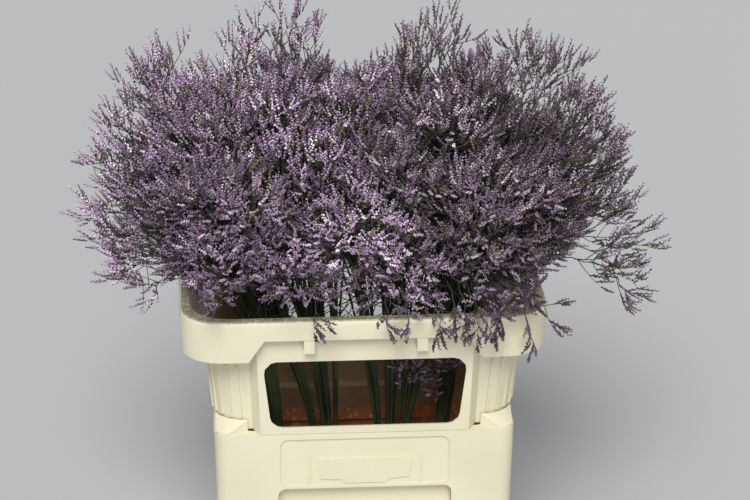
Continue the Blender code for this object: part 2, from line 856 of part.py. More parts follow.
def plan_stems(heads, space):
    """Adds to each head its stem's path. A bunch's feet stand in a ring, in the order they lean."""
    for bunch in range(BUNCHES):
        members = [head for head in heads if head["bunch"] == bunch]
        average = sum((head["start"].xy for head in members), Vector((0, 0))) / len(members)
        members.sort(key=lambda head: math.atan2(*reversed(head["start"].xy - average)))
        for i, head in enumerate(members):
            angle = math.tau * (i + 0.5) / len(members) - math.pi
            aside = Vector((math.cos(angle), math.sin(angle), 0)) * FOOT_RADIUS * 0.7
            head["place"] = i
            head["stem"] = stem_path(head, foot_middle(bunch) + aside)
            space.add(head["stem"], STEM_RADIUS, heads.index(head))


def foot_middle(bunch):
    return Vector((*BUNCH_FEET[bunch], FOOT_Z + FOOT_HEIGHT))


def make_stems(bunch, heads, finish):
    """One bunch of stems, drawn up from the low foot where they are pressed together."""
    members = [head for head in heads if head["bunch"] == bunch]
    middle = foot_middle(bunch)
    rings = []
    for drop in (FOOT_HEIGHT, 0.0):
        level = middle - Vector((0, 0, drop))
        angles = [math.tau * i / len(members) - math.pi for i in range(len(members))]
        spokes = [Vector((math.cos(angle), math.sin(angle), 0)) for angle in angles]
        rings.append([level + spoke * FOOT_RADIUS for spoke in spokes])
    skin = Skin()
    sectors = skin.tube(rings, middle + Vector((0, 0, 0.002)))[-1]
    for head in members:
        sector, path = sectors[head["place"]], head["stem"]
        for i in range(1, STEM_STEPS):
            along = (path[i + 1] - path[i - 1]).normalized()
            skin.move_out(sector, path[i], along, STEM_RADIUS)
        skin.point_out(sector, path[-1])
    return object_of(f"stems_{bunch + 1}", skin.points, skin.faces, finish)


def main():
    clear_scene()
    make_bucket(material("bucket_plastic", CREAM, 0.45))
    make_collar(material("collar_plastic", CREAM, 0.45))
    space = Space()
    heads = plan_heads()
    plan_stems(heads, space)
    for bunch in range(BUNCHES):
        make_stems(bunch, heads, material(f"stem_green_{bunch + 1}", STEM_GREEN, 0.7))
    for index, head in enumerate(heads):
        space.add([core_path(head, i / 4) for i in range(5)], CORE_REACH, index)
    for index, head in enumerate(heads):
        colour = LILAC if head["outer"].x < 0 else LILAC_GREY
        make_head(index, head, space, material(f"spray_lilac_{index + 1:02d}", colour, 0.8))


main()
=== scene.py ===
"""Looks of dried statice in its flower bucket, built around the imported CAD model.

Metres, +Z up, in the frame of the CAD model. The bush is laid out by the same rule and seeds as
in the part's source, so each fine spray stands in the place of its solid one.
"""

import math
import random

import bmesh
import bpy
import numpy as np
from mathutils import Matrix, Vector


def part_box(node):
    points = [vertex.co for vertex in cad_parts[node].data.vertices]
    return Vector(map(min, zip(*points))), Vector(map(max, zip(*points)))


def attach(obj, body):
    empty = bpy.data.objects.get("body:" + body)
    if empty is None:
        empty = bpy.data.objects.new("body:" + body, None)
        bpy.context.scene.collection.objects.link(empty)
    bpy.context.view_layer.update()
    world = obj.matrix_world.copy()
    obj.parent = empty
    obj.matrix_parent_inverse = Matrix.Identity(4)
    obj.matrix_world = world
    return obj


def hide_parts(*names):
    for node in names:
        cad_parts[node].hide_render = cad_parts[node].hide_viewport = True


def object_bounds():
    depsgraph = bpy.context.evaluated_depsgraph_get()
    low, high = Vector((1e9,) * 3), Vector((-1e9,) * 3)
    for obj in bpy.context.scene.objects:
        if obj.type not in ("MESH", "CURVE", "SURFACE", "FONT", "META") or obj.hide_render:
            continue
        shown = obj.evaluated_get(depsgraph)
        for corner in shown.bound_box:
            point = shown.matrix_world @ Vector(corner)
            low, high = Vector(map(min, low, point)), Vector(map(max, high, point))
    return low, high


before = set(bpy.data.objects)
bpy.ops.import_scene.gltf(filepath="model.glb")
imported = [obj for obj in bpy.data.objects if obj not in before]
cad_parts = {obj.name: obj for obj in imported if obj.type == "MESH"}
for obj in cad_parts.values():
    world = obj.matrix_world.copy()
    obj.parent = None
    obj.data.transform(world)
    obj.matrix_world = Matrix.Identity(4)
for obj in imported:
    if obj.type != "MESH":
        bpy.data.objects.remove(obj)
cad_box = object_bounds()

# Seeds of the random draws, and how many seeds a spray's own is drawn from
PLAN_SEED = 7
STRAY_SEED, STRAY_PLANT_SEED = 11, 21
DROOP_SEED, STEM_SEED, INNER_SPRIG_SEED = 31, 40, 61
HEAD_SEEDS = 10**6

# Sizes of the bucket and the collar, as in the part's source, and half the space inside its wall
RIM_WIDTH = 0.400
RIM_DEPTH = 0.300
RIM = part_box("collar")[1].z
GAP = 0.0003
COLLAR_OPENING = (0.150, 0.105)

# The bush's outline, as in the part's source
CLUMP_X = 0.12
CLUMP_RAISE = 0.085
CLUMP_HALVES = (0.205, 0.185)
CLUMP_TOP, CLUMP_BOTTOM = 0.185, 0.136
FAN_RAISE = 0.030
NOTCH_DEEP, NOTCH_WIDE = 0.028, 0.045
FARTHEST, HALVINGS = 0.5, 20

# Its spray heads and their cores, as in the part's source
HEADS = 62
CLOUD_POINTS = 3000
CLOUD_THICK = 0.06
GATHERINGS = 25
LOWEST_HEAD = -0.018
LOW_BAND, UPPER_KEPT = 0.09, 0.6
HEAD_REACHES = (0.90, 1.06)
STEM_VIEW = ((-0.060, 0.000), 0.030)
HEAD_START, LOWEST_START = 0.40, 0.030
CORE_ENDS = (0.88, 0.98)
CORE_LIFT, LIFT_STEP, MOST_LIFT = 0.012, 0.004, 0.1
CORE_STEPS = 8
CORE_RINGS = ((0.0, 0.0035), (0.2, 0.008), (0.4, 0.011), (0.6, 0.011), (0.8, 0.008))
CORE_REACH = 0.0175
FLORET_FROM, FLORET_MARGIN = 2, 0.1
CORE_FLORET = 0.008
CLEARANCE = 0.0012

# Where their twigs end, as in the part's source
TWIGS = 13
HEAD_SPREAD, FIRST_TWIG = 0.062, 0.6
TWIG_BACK, TWIG_FROM = 1.05, (0.15, 0.93)
TWIG_ENDS = (0.93, 1.06)
INNER_TWIGS = 8
INNER_SPREAD = 0.095
INNER_REACH = 0.76
INNER_SHARE = 0.2
GOLDEN_ANGLE = math.radians(137.508)
NEARLY_UPRIGHT = 0.9

# Their stems, as in the part's source
FOOT_RADIUS, FEET_SHARE = 0.009, 0.7
FOOT_HEIGHT = 0.012
FOOT_Z = 0.004 + GAP
BUNCHES = 4
BUNCH_FEET = ((-0.088, -0.012), (-0.032, 0.010), (0.036, -0.008), (0.092, 0.012))
STEM_END_GAP = 0.0005
STEM_LOW, STEM_HIGH, STEM_LEAD = 0.55, 0.8, 0.09

# The least length that a direction is made from
NO_LENGTH = 1e-12

# From here on, a pair of numbers is a start and an end, or the least and the most of a random draw.
# Radii of the stems, the sprays' main stems, their twigs, branchlets and spikes
STEM_RADII = (0.0024, 0.0013)
MATE_RADII = (0.0020, 0.0009)
MAIN_RADII = (0.0013, 0.0005)
TWIG_RADII = (0.0009, 0.0004)
BRANCHLET_RADII = (0.0006, 0.0003)
SPIKE_RADII = (0.0011, 0.0006)

# The fine stems, each with thinner mates that sway out to their tops
FINE_STEM_STEPS, STEM_SIDES = 10, 6
STEM_MATES, MATE_SIDES = 6, 5
MATE_SWAY, MATE_SWAYS = 0.050, (0.5, 1)

# How far a spray's main stem and twigs reach. The shares are of the way out to the bush's outline
MAIN_STEPS, MAIN_SIDES, LEAST_MAIN = 10, 5, 0.2
FINE_REACH, UP_LOSS, SIDE_LOSS = 0.93, 0.20, 0.48
NOTCH_GAIN, NOTCH_SPREAD = 0.10, 0.06
DIP_LOSS, DIP_X, DIP_SPREAD = 0.18, 0.190, 0.060
TWIG_REACHES, REACH_POWER = (0.60, 0.96), 1.3
LONG_TWIGS, LONG_SHARE, LONG_REACHES = 0.09, 0.38, (0.78, 0.96)
SHORTENED = (1.0, 0.85, 0.7, 0.55)
PATH_ROOM, SHOOT_ROOM, SPIKE_ROOM = 0.004, 0.002, 0.0035

# The twigs' forms
TWIG_POINTS = 7
ZIGZAG = 0.0016
TWIG_BOW, TWIG_SWAY = 0.16, 0.11
SPRAY_UP, STRAY_UP = (0.55, 0.65), (0.5, 0.7)

# Twigs low on the stems, with florets or bare: how many, lengths, lowest root over the rim, spread
LOWER_TWIGS = (6, (0.045, 0.085), -0.03, 1.0)
BARE_TWIGS = (34, (0.040, 0.080), -0.12, 1.6)
LOW_CORE_SHARES = (0.15, 0.3)
LOW_PLACES, LOW_RISES = (0.2, 0.8), (0.1, 1.0)
LOW_OUTLINE = 0.95
BARE_SAG = 0.2

# Branchlets along a twig: the shares of it where they leave, and how each differs from the next
SHOOT_STEPS = 4
BRANCHLET_SHARES = (0.42, 0.64, 0.86)
BRANCHLET_LENGTHS, BRANCHLET_SCALES = (0.036, 0.022), (0.7, 1.25)
BRANCH_ANGLE, BRANCH_ANGLES = math.radians(50), (0.75, 1.2)
BRANCHLET_TURN, BRANCHLET_LIFT, BRANCHLET_BEND = 0.5, 0.06, 0.16

# Spikes along a branchlet or a twig's end
SPIKE_SHARES = (0.36, 0.58, 0.80, 1.0)
FEW_SPIKES = (0.55, 0.80, 1.0)
TWIG_SPIKE_SHARES = (0.5, 0.75, 1.0)
SPIKE_LENGTHS, SPIKE_SCALES = (0.020, 0.013), (0.8, 1.15)
SPIKE_ANGLE, SPIKE_ANGLES, LAST_ANGLE = math.radians(38), (0.85, 1.15), 0.25
SPIKE_TILT, SPIKE_ROW, SPIKE_BEND = 0.45, 0.4, 0.25

# Florets along a spike. Their axes are a sum: along the spike, out of its upper side, and aside
FLORETS = 7
FLORET_PLACES, FLORET_TAPER = (0.10, 0.96), (1.1, 0.75)
FLORET_LENGTH, FLORET_LENGTHS = 0.0046, (0.8, 1.2)
FLORET_WIDTH, FLORET_WIDTHS = 0.0017, (0.8, 1.25)
FLORET_ALONG, FLORET_UP, FLORET_ROW = 0.95, 0.34, 0.24
FLORET_TILT, FLORET_SWAY = 0.25, 0.06
MOUTH_LOSS = 0.14

# Long single sprays that stand out of the bush: each tip's x, y and height above the rim
STRAYS = (
    (-0.292, -0.01, 0.078), (-0.284, -0.03, 0.052), (-0.286, 0.01, 0.133), (-0.268, 0.00, 0.182),
    (-0.246, 0.02, 0.220), (-0.222, 0.02, 0.236), (-0.246, -0.06, 0.006), (-0.270, -0.05, 0.030),
    (-0.082, 0.05, 0.284), (-0.056, 0.05, 0.258), (-0.125, 0.04, 0.250), (0.092, 0.05, 0.264),
    (0.070, 0.03, 0.250), (0.196, 0.03, 0.246), (0.220, 0.00, 0.246), (0.258, 0.00, 0.186),
    (0.284, -0.01, 0.150), (0.284, -0.02, 0.080), (0.290, -0.04, 0.040), (0.276, -0.10, 0.030),
)
LONG_SPRAY = ((0.205, -0.09, 0.060), (0.262, -0.10, 0.062), (0.308, -0.10, -0.004))
RANDOM_STRAYS = 26
RANDOM_DEPTHS, LOWEST_RANDOM = (-0.06, 0.18), 0.02
RANDOM_REACHES = (0.70, 0.88)
STRAY_ROOT, STRAY_RISES = 0.56, (-0.014, 0.010)
FORK_SHARES, FORK_LENGTHS = (0.38, 0.58), (0.52, 0.40)
FORK_ALONG, FORK_ASIDE, FORK_BEND = 0.8, 0.5, 0.12

# Sprigs that hang over the front rim: x at the rim, x of the tip, and the drop below the rim
DROOPS = (
    (0.020, 0.022, 0.010), (0.040, 0.044, 0.006), (0.082, 0.078, 0.016), (0.096, 0.094, 0.008),
    (0.106, 0.106, 0.012), (0.116, 0.118, 0.020), (0.128, 0.128, 0.012), (0.136, 0.138, 0.018),
    (0.142, 0.144, 0.006), (0.164, 0.176, 0.034), (0.170, 0.200, 0.010), (-0.054, -0.057, 0.004),
    (0.146, 0.152, -0.020), (0.160, 0.164, -0.030), (0.154, 0.172, -0.024), (0.168, 0.174, -0.034),
    (0.136, 0.134, -0.016), (0.122, 0.116, -0.010), (0.162, 0.178, -0.040),
    (-0.160, -0.168, -0.034), (-0.150, -0.156, -0.030),
)
DROOP_SCALE, DROOP_SHADE = 0.6, 0.55
DROOP_UP, DROOP_TURN = (-0.75, 0.35), 0.6

# Their places as (behind the rim's front, above the rim), and how much nearer the middle they root
DROOP_ROOT, DROOP_TOP, DROOP_TIP = (0.045, 0.030), (-0.030, 0.040), -0.018
DROOP_ROOT_X = 0.9

# Small sprigs inside the collar: how many, right of which x, where on the stem, and their reach
INNER_SPRIGS, INNER_SPRIG_FROM = 10, 0.07
INNER_SPRIG_SHARE = 0.40
INNER_SPRIG_REACH, INNER_SPRIG_SWAY = (-0.014, -0.045, 0.024), 0.008
INNER_SPRIG_UP = (0.0, -0.6, 0.8)

# Colours of the plants
STEM_COLOUR = np.array((0.044, 0.062, 0.030))
TWIG_COLOUR = np.array((0.042, 0.048, 0.032))
BARE_COLOUR = np.array((0.034, 0.048, 0.024))
STRAW_COLOUR = np.array((0.170, 0.160, 0.095))
STRAW_SHARE = 0.22
SPIKE_COLOUR = np.array((0.075, 0.073, 0.048))
CALYX = np.array((0.062, 0.056, 0.045))
LILAC = np.array((0.445, 0.275, 0.475))
MAUVE = np.array((0.340, 0.190, 0.345))
PALE = np.array((0.860, 0.690, 0.850))
PALE_GREY = np.array((0.760, 0.650, 0.740))
TAN = np.array((0.250, 0.195, 0.120))
SPENT_SHARE, SPENT_SHARE_GREY = 0.05, 0.06
# Painted shade on the florets: darker deep in the bush, and darker low down near the rim
DEEP_FROM, DEEP_TO, DEEP_PAINTED_SHADE = 0.50, 0.80, 0.35
LOW_TO, LOW_PAINTED_SHADE = 0.11, 0.62
BRIGHTEST, GREY_SHADE = 0.93, 0.88
SPRAY_SHADES, SPIKE_SHADES = (0.64, 1.24), (0.40, 1.60)

# How pale florets are: the middle, the spread from spike to spike, and from floret to floret
PALENESS, SPIKE_PALENESS, FLORET_PALENESS = 0.34, 0.52, 0.16

# Colours of the plastic
CREAM_DARK, CREAM_LIGHT = (0.690, 0.648, 0.458), (0.755, 0.715, 0.538)
RIM_DIRT, RIM_SPECK = (0.250, 0.225, 0.140), (0.520, 0.490, 0.350)
# Painted shade inside the bucket and collar, brown as the cream plastic looks in shadow; painted
# orange light on a ledge low inside, and plant crumbs lying on it
PAINTED_SHADE_DEEP, PAINTED_SHADE_SOFT = (0.420, 0.270, 0.160), (0.600, 0.420, 0.260)
ORANGE_PAINTED_LIGHT, CRUMB = (0.800, 0.310, 0.130), (0.850, 0.700, 0.480)

# Patterns: a noise's scale and detail, then the colours at two values of it
STAINS = (7.0, 5.0, (0.3, CREAM_DARK), (0.7, CREAM_LIGHT))
RIM_SPECKS = (260.0, 4.0, (0.45, RIM_DIRT), (0.72, RIM_SPECK))
INSIDE_PAINTED_SHADE = (18.0, 5.0, (0.35, PAINTED_SHADE_DEEP), (0.65, PAINTED_SHADE_SOFT))
LEDGE_LIGHT_AND_CRUMBS = (150.0, 4.0, (0.55, ORANGE_PAINTED_LIGHT), (0.66, CRUMB))
GREEN_PATCHES = (40.0, 3.0, (0.35, (0.70, 0.70, 0.70)), (0.65, (1.3, 1.35, 1.1)))
FLORET_PATCHES = (16.0, 3.0, (0.35, (0.70, 0.68, 0.70)), (0.65, (1.2, 1.2, 1.2)))

# Where the plastic's dirt and its painted shade and light lie: heights, values of a noise, and how
# much a face looks outwards
RIM_TOP = (RIM - 0.0022, RIM - 0.0008)
WORN_NOISE, WORN = (30.0, 4.0), (0.20, 0.45)
PAINTED_LIGHT_LINE = (0.148, 0.146)
FACING_IN = (-0.07, -0.09)
BELOW_RIM = (RIM - 0.050, RIM - 0.085)

# Surfaces
GREEN_ROUGHNESS, FLORET_ROUGHNESS = 0.75, 0.85
PLASTIC_ROUGHNESS, PLASTIC_BUMPS, PLASTIC_BUMP = 0.42, (220.0, 5.0), 0.00025

# The plastic's edges: those turning more than ROUNDED_TURN are rounded by EDGE_ROUND
EDGE_ROUND = {"bucket": 0.0009, "collar": 0.0005}
EDGE_PROFILE = 0.6
ROUNDED_TURN, SHARP_TURN = math.radians(50), math.radians(20)
SAME_POINT, FACE_WEIGHT = 1e-5, 100
MOST_POINTS = 10**5

# The room that the fine plants may fill, a little more than the CAD model's box
ROOM_SHARE, ROOM_EXTRA = 0.03, 0.004
PLANT_ROOM = tuple(
    np.array(corner) + sign * (ROOM_EXTRA + ROOM_SHARE * np.array(cad_box[1] - cad_box[0]))
    for corner, sign in zip(cad_box, (-1, 1))
)

# The floor, the sky, and the suns as (direction, width in degrees, strength)
FLOOR_HALF, FLOOR_DROP = 40.0, 0.0005
FLOOR_COLOUR, FLOOR_ROUGHNESS = (0.49, 0.495, 0.50, 1.0), 0.9
SKY_COLOUR, SKY_STRENGTH = (0.97, 0.98, 1.0, 1.0), 0.36
SUNS = {"key": ((-0.35, -2.0, 2.3), 28, 2.7), "front": ((0.4, -2.8, 0.6), 23, 0.55)}

# The camera: the photo's angle, distance and framing
PHOTO_WIDTH, PHOTO_HEIGHT = 750, 500
CAMERA_AZIMUTH, CAMERA_ELEVATION, CAMERA_FAR = -3.4, 24.0, 3.0
FOCAL_PX = 2680
RIM_MIDDLE_PX = (358.0, 263.4)
SENSOR_WIDTH = 36.0


# The bush's plan, by the rule of the part's source


def curve(start, control, end, share):
    return start.lerp(control, share).lerp(control.lerp(end, share), share)


def middle_of(point, height):
    """The nearest place to a point on a line along the bush, at a height above the rim."""
    return Vector((max(-CLUMP_X, min(CLUMP_X, point.x)), 0, RIM + height))


def focus_of(point):
    """The place that a spray fans out from."""
    return middle_of(point, FAN_RAISE)


def dome_share(point):
    """How far out a point lies, where 1 is on the bush's outline. The bush narrows to the rim."""
    away = point - middle_of(point, CLUMP_RAISE)
    notch = NOTCH_DEEP * math.exp(-((point.x / NOTCH_WIDE) ** 2))
    halves = (*CLUMP_HALVES, CLUMP_TOP - notch if away.z > 0 else CLUMP_BOTTOM)
    return math.sqrt(sum((part / half) ** 2 for part, half in zip(away, halves)))


def onto_dome(point):
    """Where the line from a point's focus through it leaves the bush."""
    focus = focus_of(point)
    near, far = 0.0, FARTHEST / (point - focus).length
    for _ in range(HALVINGS):
        share = (near + far) / 2
        if dome_share(focus.lerp(point, share)) < 1:
            near = share
        else:
            far = share
    return focus.lerp(point, near)


def in_stem_view(point):
    """Whether a point is in the low gap at the front where the stems show."""
    (x_from, x_to), height = STEM_VIEW
    return point.y < 0 and x_from < point.x < x_to and point.z < RIM + height


def dome_points(rng):
    """Places over the dome: a cloud of points near it, denser low down, gathered into groups."""
    cloud = []
    while len(cloud) < CLOUD_POINTS:
        x = rng.uniform(-1, 1) * (CLUMP_X + CLUMP_HALVES[0])
        y = rng.uniform(-1, 1) * CLUMP_HALVES[1]
        z = RIM + rng.uniform(LOWEST_HEAD, CLUMP_RAISE + CLUMP_TOP)
        point = Vector((x, y, z))
        kept = z < RIM + LOW_BAND or rng.random() < UPPER_KEPT
        if kept and abs(dome_share(point) - 1) < CLOUD_THICK and not in_stem_view(point):
            cloud.append(point)
    cloud = np.array(cloud)
    middles = cloud[:HEADS]
    for _ in range(GATHERINGS):
        nearest = ((cloud[:, None] - middles[None]) ** 2).sum(axis=2).argmin(axis=1)
        middles = np.array([cloud[nearest == i].mean(axis=0) for i in range(HEADS)])
    return [onto_dome(Vector(middle)) for middle in middles]


def clear_of_collar(points, radius):
    """Whether balls of this radius at points (..., 3) touch neither the collar's rim nor wall."""
    x, y, z = np.abs(points[..., 0]), np.abs(points[..., 1]), points[..., 2]
    above = z - radius > RIM + GAP
    outside = (x > RIM_WIDTH / 2 + radius + GAP) | (y > RIM_DEPTH / 2 + radius + GAP)
    inside = (x + radius < COLLAR_OPENING[0]) & (y + radius < COLLAR_OPENING[1])
    return above | outside | inside


def core_path(head, share):
    return curve(head["start"], head["control"], head["end"], share)


def core_points(head):
    return np.array([core_path(head, i / CORE_STEPS) for i in range(CORE_STEPS + 1)])


def core_clear_of_collar(head):
    return clear_of_collar(core_points(head)[1:], CORE_REACH).all()


def cores_apart(head, other):
    """Whether two sprays' cores keep clear of each other, with their florets."""
    shares = np.arange(CORE_STEPS + 1) / CORE_STEPS
    reach = np.interp(shares, *zip(*CORE_RINGS))
    reach[shares > CORE_RINGS[FLORET_FROM][0] - FLORET_MARGIN] += CORE_FLORET
    between = core_points(head)[:, None] - core_points(other)[None]
    apart = np.sqrt((between**2).sum(axis=2))
    return (apart > reach[:, None] + reach[None] + CLEARANCE).all()


def plan_heads():
    """One dict for each spray, sorted from left to right."""
    rng = random.Random(PLAN_SEED)
    heads = []
    for place in dome_points(rng):
        focus = focus_of(place)
        reach = rng.uniform(*HEAD_REACHES)
        outer = focus.lerp(place, reach)
        start = focus.lerp(outer, HEAD_START)
        start.z = max(start.z, RIM + LOWEST_START)
        end = focus.lerp(outer, rng.uniform(*CORE_ENDS))
        direction = (outer - focus).normalized()
        head = {
            "outer": outer,
            "reach": reach,
            "direction": direction,
            "start": start,
            "end": end,
            "turn": rng.uniform(0, math.tau),
            "seed": rng.randrange(HEAD_SEEDS),
        }
        lift = CORE_LIFT * (1 - abs(direction.z))
        head["control"] = start.lerp(end, 0.5) + Vector((0, 0, lift))
        while not core_clear_of_collar(head) and lift < MOST_LIFT:
            lift += LIFT_STEP
            head["control"] = start.lerp(end, 0.5) + Vector((0, 0, lift))
        if all(cores_apart(head, other) for other in heads):
            heads.append(head)
    heads.sort(key=lambda head: head["start"].x)
    for i, head in enumerate(heads):
        head["bunch"] = min(i * BUNCHES // len(heads), BUNCHES - 1)
    return heads


def twig_targets(head):
    """Where the spray's twigs end, and at what share of its core each starts."""
    rng = random.Random(head["seed"])
    length = (head["end"] - head["start"]).length
    direction = head["direction"]
    aside = Vector((0, 0, 1)) if abs(direction.z) < NEARLY_UPRIGHT else Vector((1, 0, 0))
    first = direction.cross(aside).normalized()
    second = direction.cross(first)

    def target_at(angle, spread):
        aside = (first * math.cos(angle) + second * math.sin(angle)) * spread
        return onto_dome(head["outer"] + aside)

    targets = []
    for i in range(TWIGS):
        spread = HEAD_SPREAD * math.sqrt((i + FIRST_TWIG) / TWIGS)
        target = target_at(head["turn"] + i * GOLDEN_ANGLE, spread)
        share = min(max(1 - TWIG_BACK * spread / length, TWIG_FROM[0]), TWIG_FROM[1])
        reach = head["reach"] * rng.uniform(*TWIG_ENDS)
        targets.append((focus_of(target).lerp(target, reach), share))
    for i in range(INNER_TWIGS):
        target = target_at(head["turn"] + math.tau * (i + 0.5) / INNER_TWIGS, INNER_SPREAD)
        targets.append((focus_of(target).lerp(target, INNER_REACH), INNER_SHARE))
    return targets


def foot_middle(bunch):
    return Vector((*BUNCH_FEET[bunch], FOOT_Z + FOOT_HEIGHT))


def stem_path(head, foot, steps):
    """A stem's points, from its foot to the start of its spray."""
    lead = (head["control"] - head["start"]).normalized()
    end = head["start"] - lead * STEM_END_GAP
    low = foot + Vector((0, 0, STEM_LOW * RIM))
    high = end - lead * STEM_LEAD
    high.z = max(high.z, RIM * STEM_HIGH)
    points = []
    for i in range(steps + 1):
        share = i / steps
        points.append(
            foot * (1 - share) ** 3
            + low * 3 * share * (1 - share) ** 2
            + high * 3 * share**2 * (1 - share)
            + end * share**3
        )
    return points


def plan_stems(heads, steps):
    """Adds to each head its stem's path. A bunch's feet stand in a ring, in the order they lean."""
    for bunch in range(BUNCHES):
        members = [head for head in heads if head["bunch"] == bunch]
        average = sum((head["start"].xy for head in members), Vector((0, 0))) / len(members)
        members.sort(key=lambda head: math.atan2(*reversed(head["start"].xy - average)))
        for i, head in enumerate(members):
            angle = math.tau * (i + 0.5) / len(members) - math.pi
            aside = Vector((math.cos(angle), math.sin(angle), 0)) * FOOT_RADIUS * FEET_SHARE
            head["stem"] = stem_path(head, foot_middle(bunch) + aside, steps)


# Meshes from arrays


def linked(name, data):
    """A new object in the scene, for a mesh, a light or a camera."""
    obj = bpy.data.objects.new(name, data)
    bpy.context.scene.collection.objects.link(obj)
    return obj


def unit(vectors):
    lengths = np.linalg.norm(vectors, axis=-1, keepdims=True)
    return vectors / np.maximum(lengths, NO_LENGTH)


def across(axes):
    """Two directions across each axis."""
    upright = np.abs(axes[..., 2:3]) > NEARLY_UPRIGHT
    aside = np.where(upright, np.array((1.0, 0.0, 0.0)), np.array((0.0, 0.0, 1.0)))
    first = unit(np.cross(axes, aside))
    return first, np.cross(axes, first)


def turned(axes, angles):
    """The directions across each axis at angles round it."""
    first, second = across(axes)
    return first * np.cos(angles) + second * np.sin(angles)


def alternating(count, size):
    """Left and right in turn, as (-size, size, -size, ...)."""
    return np.where(np.arange(count) % 2, size, -size)


class Heap:
    """Many small shapes that become one mesh, with a colour at each point."""

    def __init__(self):
        self.points, self.faces, self.colours, self.count = [], [], [], 0

    def add(self, points, faces, colours):
        """Copies of one shape: points (copies, points each, 3), faces of one copy, and colours."""
        copies, each, _ = points.shape
        starts = self.count + np.arange(copies) * each
        self.points.append(points.reshape(-1, 3))
        self.faces.append((np.array(faces)[None] + starts[:, None, None]).reshape(-1, 3))
        self.colours.append(np.broadcast_to(colours, points.shape).reshape(-1, 3))
        self.count += copies * each

    def tubes(self, paths, radii, colours, sides=3):
        """Pointed tubes along paths (tubes, steps, 3), with radii from the first to the second."""
        tubes, steps, _ = paths.shape
        angles = np.arange(sides)[:, None] * math.tau / sides
        spokes = turned(unit(paths[:, -1] - paths[:, 0])[:, None], angles)
        radii = np.linspace(*radii, steps)[:-1, None, None]
        rings = paths[:, :-1, None] + spokes[:, None] * radii
        points = np.concatenate([rings.reshape(tubes, -1, 3), paths[:, -1:]], axis=1)
        faces = []
        for step in range(steps - 2):
            low, high = step * sides, (step + 1) * sides
            for i in range(sides):
                j = (i + 1) % sides
                faces += [(low + i, high + j, low + j), (low + i, high + i, high + j)]
        tip, last = (steps - 1) * sides, (steps - 2) * sides
        faces += [(last + i, tip, last + (i + 1) % sides) for i in range(sides)]
        colours = np.broadcast_to(colours, paths.shape)
        ring_colours = np.repeat(colours[:, :-1], sides, axis=1)
        self.add(points, faces, np.concatenate([ring_colours, colours[:, -1:]], axis=1))

    def funnels(self, bases, axes, lengths, widths, turns, base_colour, mouth_colours):
        """Florets: a point at the base and a flared, ragged mouth of three points."""
        bases, axes, mouth_colours = (part.reshape(-1, 3) for part in (bases, axes, mouth_colours))
        lengths, widths, turns = (part.reshape(-1, 1) for part in (lengths, widths, turns))
        points = [bases]
        for i in range(3):
            spoke = turned(axes, turns + math.tau * i / 3)
            reach = lengths * (1 - MOUTH_LOSS * i)
            points.append(bases + axes * reach + spoke * widths)
        faces = [(0, 2, 1), (0, 3, 2), (0, 1, 3), (1, 2, 3)]
        base_colours = np.broadcast_to(base_colour, bases.shape)
        colours = np.stack([base_colours, *[mouth_colours] * 3], axis=1)
        self.add(np.stack(points, axis=1), faces, colours)

    def piece(self, name, finish):
        points = np.concatenate(self.points).astype(np.float32)
        faces = np.concatenate(self.faces).astype(np.int32)
        colours = np.concatenate(self.colours).astype(np.float32)
        mesh = bpy.data.meshes.new(name)
        mesh.vertices.add(len(points))
        mesh.vertices.foreach_set("co", points.ravel())
        mesh.loops.add(faces.size)
        mesh.loops.foreach_set("vertex_index", faces.ravel())
        mesh.polygons.add(len(faces))
        mesh.polygons.foreach_set("loop_start", np.arange(len(faces), dtype=np.int32) * 3)
        mesh.update(calc_edges=True)
        tint = mesh.color_attributes.new("tint", "FLOAT_COLOR", "POINT")
        alpha = np.ones((len(points), 1), np.float32)
        tint.data.foreach_set("color", np.hstack([colours, alpha]).ravel())
        mesh.materials.append(finish)
        return linked(name, mesh)


# Paths


def clear_paths(paths, radius):
    """The paths that keep clear of the collar and inside the room round the bush."""
    low, high = PLANT_ROOM
    in_room = (paths > low).all(axis=-1) & (paths < high).all(axis=-1)
    return paths[(clear_of_collar(paths, radius) & in_room).all(axis=1)]


def bent(starts, controls, ends, steps=TWIG_POINTS):
    """Curved paths (count, steps, 3) from starts to ends, each a point or (count, 3)."""
    share = np.linspace(0, 1, steps)[None, :, None]
    a, b, c = (points.reshape(-1, 1, 3) for points in (starts, controls, ends))
    return a * (1 - share) ** 2 + b * 2 * share * (1 - share) + c * share**2


def at_shares(paths, shares):
    """(points, directions) at shares of each path's length, each (count, shares, 3)."""
    steps = paths.shape[1] - 1
    place = np.asarray(shares) * steps
    low = np.minimum(place.astype(int), steps - 1)
    part = (place - low)[None, :, None]
    start, end = paths[:, low], paths[:, low + 1]
    return start + (end - start) * part, unit(end - start)


def square_to(vectors, along):
    """The part of each vector that is square to a direction, at length 1."""
    return unit(vectors - along * (vectors * along).sum(axis=-1, keepdims=True))


def zigzagged(paths, rng):
    """Paths that turn a little left and right at each point."""
    turn = rng.uniform(0, math.tau, len(paths))[:, None]
    aside = turned(unit(paths[:, -1] - paths[:, 0]), turn)
    swing = alternating(paths.shape[1], ZIGZAG)
    swing[0] = 0
    return paths + aside[:, None] * swing[None, :, None]


def shoot_paths(starts, directions, lengths, up, bend, steps=SHOOT_STEPS):
    """Shoots that curve up towards the light."""
    share = np.linspace(0, 1, steps)[None, :, None]
    starts, directions = (part.reshape(-1, 1, 3) for part in (starts, directions))
    reach = lengths.reshape(-1, 1, 1)
    return starts + directions * reach * share + up * reach * bend * share**2


def up_of(direction, shares):
    """The way a spray's shoots curve: a share of its own direction and a share straight up."""
    along, upright = shares
    return unit(direction * along + np.array((0, 0, upright)))


